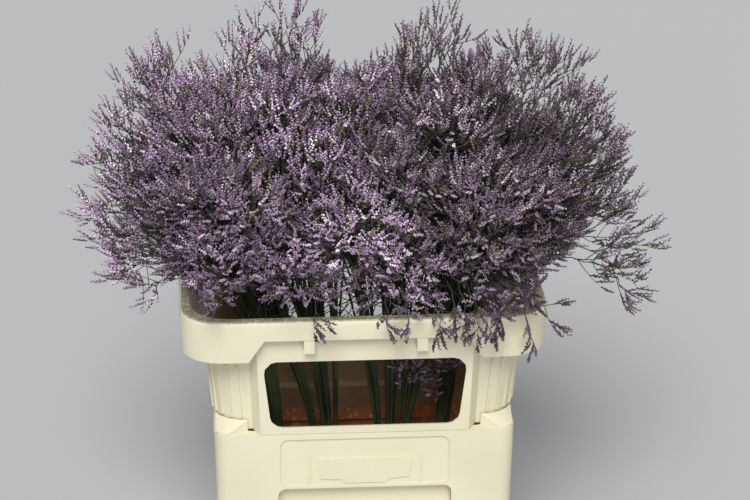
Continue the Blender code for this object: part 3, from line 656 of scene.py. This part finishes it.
def painted_depth_shade(points):
    """1 at the bush's outline, and less for points deep in it or low: painted shade on the florets
    there.
    """
    middles = np.zeros_like(points)
    middles[:, 0] = np.clip(points[:, 0], -CLUMP_X, CLUMP_X)
    middles[:, 2] = RIM + CLUMP_RAISE
    away = points - middles
    heights = np.where(away[:, 2] > 0, CLUMP_TOP, CLUMP_BOTTOM)
    flat = (away[:, :2] ** 2 / np.square(CLUMP_HALVES)).sum(axis=1)
    share = np.sqrt(flat + (away[:, 2] / heights) ** 2)
    place = np.clip((share - DEEP_FROM) / (DEEP_TO - DEEP_FROM), 0, 1)
    high = np.clip((points[:, 2] - RIM) / LOW_TO, 0, 1)
    return (DEEP_PAINTED_SHADE + (1 - DEEP_PAINTED_SHADE) * place) * (LOW_PAINTED_SHADE + (1 - LOW_PAINTED_SHADE) * high)


# Fine sprays


class Plant:
    """The greens and the florets of one spray."""

    def __init__(self, seed, grey):
        self.rng = np.random.default_rng(seed)
        self.greens, self.florets = Heap(), Heap()
        self.lilac, self.pale = (MAUVE, PALE_GREY) if grey else (LILAC, PALE)
        self.spent_share = SPENT_SHARE_GREY if grey else SPENT_SHARE
        self.slot = "floret_mauve" if grey else "floret_lilac"
        self.shade = self.rng.uniform(*SPRAY_SHADES) * (GREY_SHADE if grey else 1.0)

    def grow(self, twigs, up, scale=1.0, spike_shares=SPIKE_SHARES):
        """Twigs with branchlets left and right, and with spikes."""
        if not len(twigs):
            return
        rng = self.rng
        self.greens.tubes(twigs, TWIG_RADII, TWIG_COLOUR)
        starts, along = at_shares(twigs, BRANCHLET_SHARES)
        count, each, _ = starts.shape
        turn = rng.uniform(0, math.tau, (count, 1)) + math.pi * np.arange(each)[None]
        turn = (turn + rng.normal(0, BRANCHLET_TURN, (count, each)))[..., None]
        aside = turned(along, turn)
        angle = BRANCH_ANGLE * rng.uniform(*BRANCH_ANGLES, (count, each, 1))
        directions = unit(along * np.cos(angle) + aside * np.sin(angle) + up * BRANCHLET_LIFT)
        scales = rng.uniform(*BRANCHLET_SCALES, (count, each))
        lengths = np.linspace(*BRANCHLET_LENGTHS, each)[None] * scales
        lengths *= scale
        branchlets = shoot_paths(starts, directions, lengths, up, BRANCHLET_BEND)
        branchlets = clear_paths(branchlets, SHOOT_ROOM)
        self.greens.tubes(branchlets, BRANCHLET_RADII, TWIG_COLOUR)
        self.bear_spikes(branchlets, spike_shares, up, scale)
        self.bear_spikes(twigs[:, -3:], TWIG_SPIKE_SHARES, up, scale)

    def bear_spikes(self, paths, shares, up, scale):
        """Spikes in a row on the upper side of each path, and one at its end."""
        rng = self.rng
        starts, along = at_shares(paths, shares)
        count, each, _ = starts.shape
        upper = square_to(up + rng.normal(0, SPIKE_TILT, (count, 1, 3)), along)
        row = alternating(each, SPIKE_ROW)[None, :, None]
        angle = SPIKE_ANGLE * rng.uniform(*SPIKE_ANGLES, (count, each, 1))
        angle[:, -1] *= LAST_ANGLE
        out = unit(upper + np.cross(along, upper) * row)
        directions = along * np.cos(angle) + out * np.sin(angle)
        scales = rng.uniform(*SPIKE_SCALES, (count, each))
        lengths = math.sqrt(scale) * np.linspace(*SPIKE_LENGTHS, each)[None] * scales
        spikes = shoot_paths(starts, directions, lengths, up, SPIKE_BEND)
        self.bear_florets(clear_paths(spikes, SPIKE_ROOM), up)

    def bear_florets(self, spikes, up):
        """Two rows of florets on the upper side of each spike. They get smaller to its end."""
        rng, each = self.rng, (len(spikes), FLORETS)
        self.greens.tubes(spikes[:, :: SHOOT_STEPS - 1], SPIKE_RADII, SPIKE_COLOUR)
        bases, along = at_shares(spikes, np.linspace(*FLORET_PLACES, FLORETS))
        upper = square_to(up + rng.normal(0, FLORET_TILT, (len(spikes), 1, 3)), along)
        row = alternating(FLORETS, FLORET_ROW)[None, :, None]
        sway = rng.normal(0, FLORET_SWAY, bases.shape)
        aside = np.cross(along, upper) * row
        axes = unit(along * FLORET_ALONG + upper * FLORET_UP + aside + sway)
        taper = np.linspace(*FLORET_TAPER, FLORETS)[None]
        lengths = FLORET_LENGTH * taper * rng.uniform(*FLORET_LENGTHS, each)
        widths = FLORET_WIDTH * taper * rng.uniform(*FLORET_WIDTHS, each)
        turns = rng.uniform(0, math.tau, each)
        colours = self.floret_colours(spikes)
        self.florets.funnels(bases, axes, lengths, widths, turns, CALYX, colours)

    def floret_colours(self, spikes):
        """A colour for each floret of each spike, from lilac to pale, and tan on a spent spike."""
        rng, one = self.rng, (len(spikes), 1, 1)
        spent = rng.uniform(0, 1, one) < self.spent_share
        paleness = rng.normal(PALENESS, SPIKE_PALENESS, one)
        paleness = paleness + rng.normal(0, FLORET_PALENESS, (len(spikes), FLORETS, 1))
        paleness = np.clip(paleness, 0, 1)
        colour = self.lilac * (1 - paleness) + self.pale * paleness
        colour = np.where(spent, TAN * (1 + paleness), colour)
        colour = colour * self.shade * rng.uniform(*SPIKE_SHADES, one)
        # Painted shade: florets deep in the bush and low near the rim are darkened
        return np.minimum(colour * painted_depth_shade(spikes[:, -1])[:, None, None], BRIGHTEST)

    def pieces(self, name, finishes, replaced=None):
        twigs = self.greens.piece(f"{name}_twigs", finishes["green"])
        florets = self.florets.piece(f"{name}_florets", finishes["floret"])
        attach(twigs, "root")
        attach(florets, "root")
        if replaced:
            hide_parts(replaced)


def fine_target(target):
    """A twig's target, drawn in so that only long twigs reach the bush's outline."""
    focus = focus_of(target)
    direction = (target - focus).normalized()
    upright = max(direction.z, 0)
    loss = UP_LOSS * upright + SIDE_LOSS * abs(direction.x) * (1 - upright**2)
    loss -= NOTCH_GAIN * upright * math.exp(-((target.x / NOTCH_SPREAD) ** 2))
    loss += DIP_LOSS * upright * math.exp(-(((target.x - DIP_X) / DIP_SPREAD) ** 2))
    return focus.lerp(target, FINE_REACH - loss)


def fine_end(head):
    """The share of the core's path where the fine spray's main stem ends."""
    focus = focus_of(head["outer"])
    start, end, goal = (
        (point - focus).length for point in (head["start"], head["end"], fine_target(head["outer"]))
    )
    return min(max((goal - start) / (end - start), LEAST_MAIN), 1.0)


def twig_paths(head, rng):
    """The spray's twigs, as (close, long): most end inside the bush, a few at its outline."""
    low, high = TWIG_REACHES
    close, long = [], []
    for target, share in twig_targets(head):
        share *= head["fine_end"]
        if rng.uniform() < LONG_TWIGS:
            halfway = fine_target(target).lerp(target, LONG_SHARE)
            long.append((core_path(head, share), halfway, rng.uniform(*LONG_REACHES)))
        else:
            reach = low + (high - low) * rng.uniform() ** REACH_POWER
            close.append((core_path(head, share), fine_target(target), reach))
    close += low_twig_ends(head, rng, *LOWER_TWIGS)
    return [zigzagged(fitted_paths(head, ends, rng), rng) for ends in (close, long)]


def fitted_paths(head, ends, rng):
    """Bowed paths from roots to targets, each as long as the collar and the room allow."""
    paths = []
    for root, target, reach in ends:
        root, target = np.array(root), np.array(target)
        for shortened in SHORTENED:
            tip = root + (target - root) * reach * shortened
            length = np.linalg.norm(tip - root)
            bow = np.array(head["direction"]) * TWIG_BOW + rng.normal(0, TWIG_SWAY, 3)
            control = (root + tip) / 2 - bow * length
            path = bent(root, control, tip)
            if len(clear_paths(path, PATH_ROOM)):
                paths.append(path[0])
                break
    return np.array(paths).reshape(-1, TWIG_POINTS, 3)


def low_twig_ends(head, rng, count, lengths, lowest, spread):
    """Twigs that leave the stem below its spray, outwards and up: (root, target, 1)."""
    bearer = [point for point in head["stem"] if point.z > RIM + lowest]
    bearer += [core_path(head, share) for share in LOW_CORE_SHARES]
    outwards = math.atan2(head["direction"].y, head["direction"].x)
    ends = []
    for i in range(count):
        place = (i + rng.uniform(*LOW_PLACES)) / count * (len(bearer) - 1)
        low = min(int(place), len(bearer) - 2)
        root = bearer[low].lerp(bearer[low + 1], place - low)
        angle = outwards + rng.normal(0, spread)
        rise = rng.uniform(*LOW_RISES)
        direction = Vector((math.cos(angle), math.sin(angle), rise)).normalized()
        target = root + direction * rng.uniform(*lengths)
        if target.z < RIM or (dome_share(target) < LOW_OUTLINE and not in_stem_view(target)):
            ends.append((root, target, 1.0))
    return ends


def bare_twigs(head, rng):
    """Thin twigs with no florets, low in the bush and in the collar."""
    ends = low_twig_ends(head, rng, *BARE_TWIGS)
    roots, tips = (np.array([end[i] for end in ends]) for i in (0, 1))
    lengths = np.linalg.norm(tips - roots, axis=1, keepdims=True)
    controls = (roots + tips) / 2 - np.array((0, 0, BARE_SAG)) * lengths
    return clear_paths(bent(roots, controls, tips, SHOOT_STEPS), SHOOT_ROOM)


def make_spray(index, head, finishes):
    """One fine spray: its main stem and twigs in one piece, its florets in another."""
    plant = Plant(head["seed"], head["outer"].x > 0)
    up = up_of(np.array(head["direction"]), SPRAY_UP)
    head["fine_end"] = fine_end(head)
    shares = [head["fine_end"] * i / MAIN_STEPS for i in range(MAIN_STEPS + 1)]
    main_stem = np.array([[core_path(head, share) for share in shares]])
    plant.greens.tubes(main_stem, MAIN_RADII, STEM_COLOUR, MAIN_SIDES)
    bare = bare_twigs(head, plant.rng)
    straw = plant.rng.uniform(0, 1, (len(bare), 1, 1)) < STRAW_SHARE
    plant.greens.tubes(bare, TWIG_RADII, np.where(straw, STRAW_COLOUR, BARE_COLOUR))
    close, long = twig_paths(head, plant.rng)
    plant.grow(close, up)
    plant.grow(long, up, spike_shares=FEW_SPIKES)
    name = f"spray_{index + 1:02d}"
    plant.pieces(name, finishes, replaced=name)


def make_strays(finishes):
    """Single sprays, with a long bare stem and a few forks, that stand out of the bush."""
    rng = random.Random(STRAY_SEED)
    tips = [Vector((x, y, RIM + z)) for x, y, z in STRAYS]
    while len(tips) < len(STRAYS) + RANDOM_STRAYS:
        x = rng.uniform(-1, 1) * (CLUMP_X + CLUMP_HALVES[0])
        y = rng.uniform(*RANDOM_DEPTHS)
        z = RIM + rng.uniform(LOWEST_RANDOM, CLUMP_RAISE + CLUMP_TOP)
        point = Vector((x, y, z))
        if abs(dome_share(point) - 1) < CLOUD_THICK:
            tips.append(focus_of(point).lerp(onto_dome(point), rng.uniform(*RANDOM_REACHES)))
    paths = []
    for tip in tips:
        root = focus_of(tip).lerp(tip, STRAY_ROOT)
        control = root.lerp(tip, 0.5) + Vector((0, 0, rng.uniform(*STRAY_RISES)))
        paths.append((root, control, tip))
    paths.append([Vector((x, y, RIM + z)) for x, y, z in LONG_SPRAY])
    for grey in (False, True):
        members = [path for path in paths if (path[2].x > 0) == grey]
        plant = Plant(STRAY_PLANT_SEED + grey, grey)
        for root, control, tip in members:
            up = up_of(np.array((tip - focus_of(tip)).normalized()), STRAY_UP)
            twig = bent(np.array(root), np.array(control), np.array(tip))
            twigs = zigzagged(np.concatenate([twig, forks(twig, up, plant.rng)]), plant.rng)
            plant.grow(twigs, up, spike_shares=FEW_SPIKES)
        plant.pieces("strays_right" if grey else "strays_left", finishes)


def forks(twig, up, rng):
    """Two side twigs of one twig."""
    starts, along = at_shares(twig, FORK_SHARES)
    turn = rng.uniform(0, math.tau) + np.array((0, math.pi))[:, None]
    directions = unit(along[0] * FORK_ALONG + turned(along[0], turn) * FORK_ASIDE)
    lengths = np.linalg.norm(twig[0, -1] - twig[0, 0]) * np.array(FORK_LENGTHS)
    return shoot_paths(starts[0], directions, lengths, up, FORK_BEND, TWIG_POINTS)


def make_droops(finishes):
    """Sprigs that hang over the front rim."""
    plant = Plant(DROOP_SEED, True)
    plant.shade = DROOP_SHADE
    front = -RIM_DEPTH / 2
    for x_rim, x_tip, drop in DROOPS:
        root = np.array((x_rim * DROOP_ROOT_X, front + DROOP_ROOT[0], RIM + DROOP_ROOT[1]))
        control = np.array(((x_rim + x_tip) / 2, front + DROOP_TOP[0], RIM + DROOP_TOP[1]))
        tip = np.array((x_tip, front + DROOP_TIP, RIM - drop))
        twigs = zigzagged(clear_paths(bent(root, control, tip), SHOOT_ROOM), plant.rng)
        if len(twigs):
            up = unit(np.array((plant.rng.normal(0, DROOP_TURN), *DROOP_UP)))
            plant.grow(twigs, up, DROOP_SCALE, FEW_SPIKES)
    plant.pieces("droops", finishes)


def make_inner_sprigs(heads, finishes):
    """Small sprigs that the window shows, on the foremost stems of the right bunch."""
    plant = Plant(INNER_SPRIG_SEED, True)
    stems = [head["stem"] for head in heads if head["start"].x > INNER_SPRIG_FROM]
    stems.sort(key=lambda stem: stem[len(stem) // 2].y)
    for stem in stems[:INNER_SPRIGS]:
        root = np.array(stem[round(INNER_SPRIG_SHARE * (len(stem) - 1))])
        sway = plant.rng.normal(0, INNER_SPRIG_SWAY, 3)
        tip = root + np.array(INNER_SPRIG_REACH) + sway
        twigs = clear_paths(bent(root, (root + tip) / 2, tip), SHOOT_ROOM)
        plant.grow(twigs, np.array(INNER_SPRIG_UP), DROOP_SCALE, FEW_SPIKES)
    plant.pieces("inner_sprigs", finishes)


def make_stems(bunch, heads, finish):
    """One bunch of round stems, from the bucket's floor to their sprays, and thinner mates."""
    greens = Heap()
    rng = np.random.default_rng(STEM_SEED + bunch)
    paths = np.array([head["stem"] for head in heads if head["bunch"] == bunch])
    greens.tubes(paths, STEM_RADII, STEM_COLOUR, STEM_SIDES)
    share = np.linspace(0, 1, paths.shape[1])[None, :, None]
    for _ in range(STEM_MATES):
        turn = rng.uniform(0, math.tau, (len(paths), 1, 1))
        sway = np.concatenate([np.cos(turn), np.sin(turn), np.zeros_like(turn)], axis=2)
        mates = paths + sway * MATE_SWAY * share**3 * rng.uniform(*MATE_SWAYS, turn.shape)
        greens.tubes(clear_paths(mates, SHOOT_ROOM), MATE_RADII, STEM_COLOUR, MATE_SIDES)
    piece = greens.piece(f"stems_{bunch + 1}_fine", finish)
    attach(piece, "root")
    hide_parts(f"stems_{bunch + 1}")


# Bucket and collar


def place_of(face):
    """A number that puts a form's triangles in the same order in every run."""
    low, middle, high = sorted(vert.index for vert in face.verts)
    return (low * MOST_POINTS + middle) * MOST_POINTS + high


def make_plastic(node, finish):
    """The node's own form, with its edges rounded and its corners shaded smooth."""
    mesh = bpy.data.meshes.new(f"{node}_fine")
    form = bmesh.new()
    form.from_mesh(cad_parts[node].data)
    bmesh.ops.remove_doubles(form, verts=form.verts, dist=SAME_POINT)
    sharp = [edge for edge in form.edges if edge.calc_face_angle(0) > ROUNDED_TURN]
    bmesh.ops.bevel(
        form,
        geom=sharp,
        offset=EDGE_ROUND[node],
        segments=2,
        profile=EDGE_PROFILE,
        affect="EDGES",
        clamp_overlap=True,
    )
    bmesh.ops.triangulate(form, faces=form.faces)
    form.verts.index_update()
    form.faces.sort(key=place_of)
    form.to_mesh(mesh)
    form.free()
    mesh.materials.append(finish)
    mesh.shade_smooth()
    mesh.set_sharp_from_angle(angle=SHARP_TURN)
    piece = linked(f"{node}_fine", mesh)
    shading = piece.modifiers.new("flat_faces", "WEIGHTED_NORMAL")
    shading.weight = FACE_WEIGHT
    shading.keep_sharp = True
    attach(piece, "root")
    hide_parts(node)


# Materials


def new_material(name, roughness):
    made = bpy.data.materials.new(name)
    made.use_nodes = True
    shader = made.node_tree.nodes["Principled BSDF"]
    shader.inputs["Roughness"].default_value = roughness
    return made, made.node_tree, shader


def noise(tree, scale, detail):
    place = tree.nodes.new("ShaderNodeTexCoord")
    texture = tree.nodes.new("ShaderNodeTexNoise")
    texture.inputs["Scale"].default_value = scale
    texture.inputs["Detail"].default_value = detail
    tree.links.new(place.outputs["Object"], texture.inputs["Vector"])
    return texture.outputs["Fac"]


def ramp(tree, factor, stops):
    """A colour that follows a factor, through (place, colour) stops."""
    node = tree.nodes.new("ShaderNodeValToRGB")
    while len(node.color_ramp.elements) < len(stops):
        node.color_ramp.elements.new(0.5)
    for element, (place, colour) in zip(node.color_ramp.elements, stops):
        element.position = place
        element.color = (*colour, 1.0)
    tree.links.new(factor, node.inputs["Fac"])
    return node.outputs["Color"]


def pattern(tree, scale, detail, *stops):
    return ramp(tree, noise(tree, scale, detail), stops)


def mixed(tree, first, second, factor=None, blend="MIX"):
    """Two colours mixed by a factor, or blended wholly where there is none."""
    node = tree.nodes.new("ShaderNodeMix")
    node.data_type = "RGBA"
    node.blend_type = blend
    factor_in, colours_in, colour_out = node.inputs[0], node.inputs[6:8], node.outputs[2]
    factor_in.default_value = 1.0
    if factor:
        tree.links.new(factor, factor_in)
    for colour, socket in zip((first, second), colours_in):
        tree.links.new(colour, socket)
    return colour_out


def eased(tree, value, start, end):
    """0 where a value is at start, 1 at end, and a smooth step between."""
    node = tree.nodes.new("ShaderNodeMapRange")
    node.interpolation_type = "SMOOTHSTEP"
    node.inputs["From Min"].default_value = start
    node.inputs["From Max"].default_value = end
    tree.links.new(value, node.inputs["Value"])
    return node.outputs["Result"]


def product(tree, first, second):
    node = tree.nodes.new("ShaderNodeMath")
    node.operation = "MULTIPLY"
    tree.links.new(first, node.inputs[0])
    tree.links.new(second, node.inputs[1])
    return node.outputs[0]


def bumped(tree, shader, height, distance):
    node = tree.nodes.new("ShaderNodeBump")
    node.inputs["Distance"].default_value = distance
    tree.links.new(height, node.inputs["Height"])
    tree.links.new(node.outputs["Normal"], shader.inputs["Normal"])


def tinted_material(name, roughness, patches):
    """A material that takes its colour from the mesh, with light and dark patches."""
    made, tree, shader = new_material(name, roughness)
    tint = tree.nodes.new("ShaderNodeAttribute")
    tint.attribute_name = "tint"
    colour = mixed(tree, tint.outputs["Color"], pattern(tree, *patches), blend="MULTIPLY")
    tree.links.new(colour, shader.inputs["Base Color"])
    return made


def outwardness(tree, geometry):
    """How far out a face looks from the upright line through the middle of the bucket."""
    flat = tree.nodes.new("ShaderNodeVectorMath")
    flat.operation = "MULTIPLY"
    flat.inputs[1].default_value = (1.0, 1.0, 0.0)
    tree.links.new(geometry.outputs["Position"], flat.inputs[0])
    outward = tree.nodes.new("ShaderNodeVectorMath")
    outward.operation = "DOT_PRODUCT"
    tree.links.new(flat.outputs["Vector"], outward.inputs[0])
    tree.links.new(geometry.outputs["True Normal"], outward.inputs[1])
    return outward.outputs["Value"]


def plastic_material():
    """Cream plastic with faint stains, dirt on top of the rim, and painted shade on the brown
    inside, with painted orange light and crumbs on a low ledge.
    """
    made, tree, shader = new_material("cream_plastic", PLASTIC_ROUGHNESS)
    geometry = tree.nodes.new("ShaderNodeNewGeometry")
    place = tree.nodes.new("ShaderNodeSeparateXYZ")
    tree.links.new(geometry.outputs["Position"], place.inputs["Vector"])
    height = place.outputs["Z"]

    worn = eased(tree, noise(tree, *WORN_NOISE), *WORN)
    on_top = product(tree, eased(tree, height, *RIM_TOP), worn)
    outside = mixed(tree, pattern(tree, *STAINS), pattern(tree, *RIM_SPECKS), on_top)

    # Low on the inner wall: painted shade, and below a line painted orange light on the ledge, with
    # real crumbs on it
    below_line = eased(tree, height, *PAINTED_LIGHT_LINE)
    wall = mixed(tree, pattern(tree, *INSIDE_PAINTED_SHADE), pattern(tree, *LEDGE_LIGHT_AND_CRUMBS), below_line)
    facing_in = eased(tree, outwardness(tree, geometry), *FACING_IN)
    inside = product(tree, facing_in, eased(tree, height, *BELOW_RIM))
    colour = mixed(tree, outside, wall, inside)
    tree.links.new(colour, shader.inputs["Base Color"])
    bumped(tree, shader, noise(tree, *PLASTIC_BUMPS), PLASTIC_BUMP)
    return made


# Stage, light and camera


def make_floor():
    half = FLOOR_HALF
    points = [(-half, -half, 0), (half, -half, 0), (half, half, 0), (-half, half, 0)]
    mesh = bpy.data.meshes.new("floor")
    mesh.from_pydata(points, [], [(0, 1, 2, 3)])
    floor = linked("floor", mesh)
    floor.location.z = -FLOOR_DROP
    made, _, shader = new_material("pale_floor", FLOOR_ROUGHNESS)
    shader.inputs["Base Color"].default_value = FLOOR_COLOUR
    mesh.materials.append(made)


def make_sun(name, direction, width, strength):
    """A soft sun that shines from a direction, as wide as the degrees given."""
    data = bpy.data.lights.new(name, "SUN")
    data.angle = math.radians(width)
    data.energy = strength
    linked(name, data).rotation_euler = Vector(direction).to_track_quat("Z", "Y").to_euler()


def make_sky():
    world = bpy.data.worlds.new("studio")
    bpy.context.scene.world = world
    world.use_nodes = True
    background = world.node_tree.nodes["Background"]
    background.inputs["Color"].default_value = SKY_COLOUR
    background.inputs["Strength"].default_value = SKY_STRENGTH


def make_camera():
    azimuth, elevation = math.radians(CAMERA_AZIMUTH), math.radians(CAMERA_ELEVATION)
    flat = math.cos(elevation)
    away = Vector((math.sin(azimuth) * flat, -math.cos(azimuth) * flat, math.sin(elevation)))
    aim = Vector((0, 0, RIM))
    data = bpy.data.cameras.new("camera")
    data.sensor_width = SENSOR_WIDTH
    data.lens = FOCAL_PX / PHOTO_WIDTH * data.sensor_width
    data.shift_x = (PHOTO_WIDTH / 2 - RIM_MIDDLE_PX[0]) / PHOTO_WIDTH
    data.shift_y = (RIM_MIDDLE_PX[1] - PHOTO_HEIGHT / 2) / PHOTO_WIDTH
    camera = linked("camera", data)
    camera.location = aim + away * CAMERA_FAR
    camera.rotation_euler = (-away).to_track_quat("-Z", "Y").to_euler()
    bpy.context.scene.camera = camera


def main():
    finishes = {
        "green": tinted_material("stem_green", GREEN_ROUGHNESS, GREEN_PATCHES),
        "floret": tinted_material("statice_florets", FLORET_ROUGHNESS, FLORET_PATCHES),
    }
    plastic = plastic_material()
    make_plastic("bucket", plastic)
    make_plastic("collar", plastic)
    heads = plan_heads()
    plan_stems(heads, FINE_STEM_STEPS)
    for bunch in range(BUNCHES):
        make_stems(bunch, heads, finishes["green"])
    for index, head in enumerate(heads):
        make_spray(index, head, finishes)
    make_strays(finishes)
    make_droops(finishes)
    make_inner_sprigs(heads, finishes)
    make_floor()
    make_sky()
    for name, (direction, width, strength) in SUNS.items():
        make_sun(name, direction, width, strength)
    make_camera()
    bpy.context.scene.view_settings.view_transform = "Standard"


main()
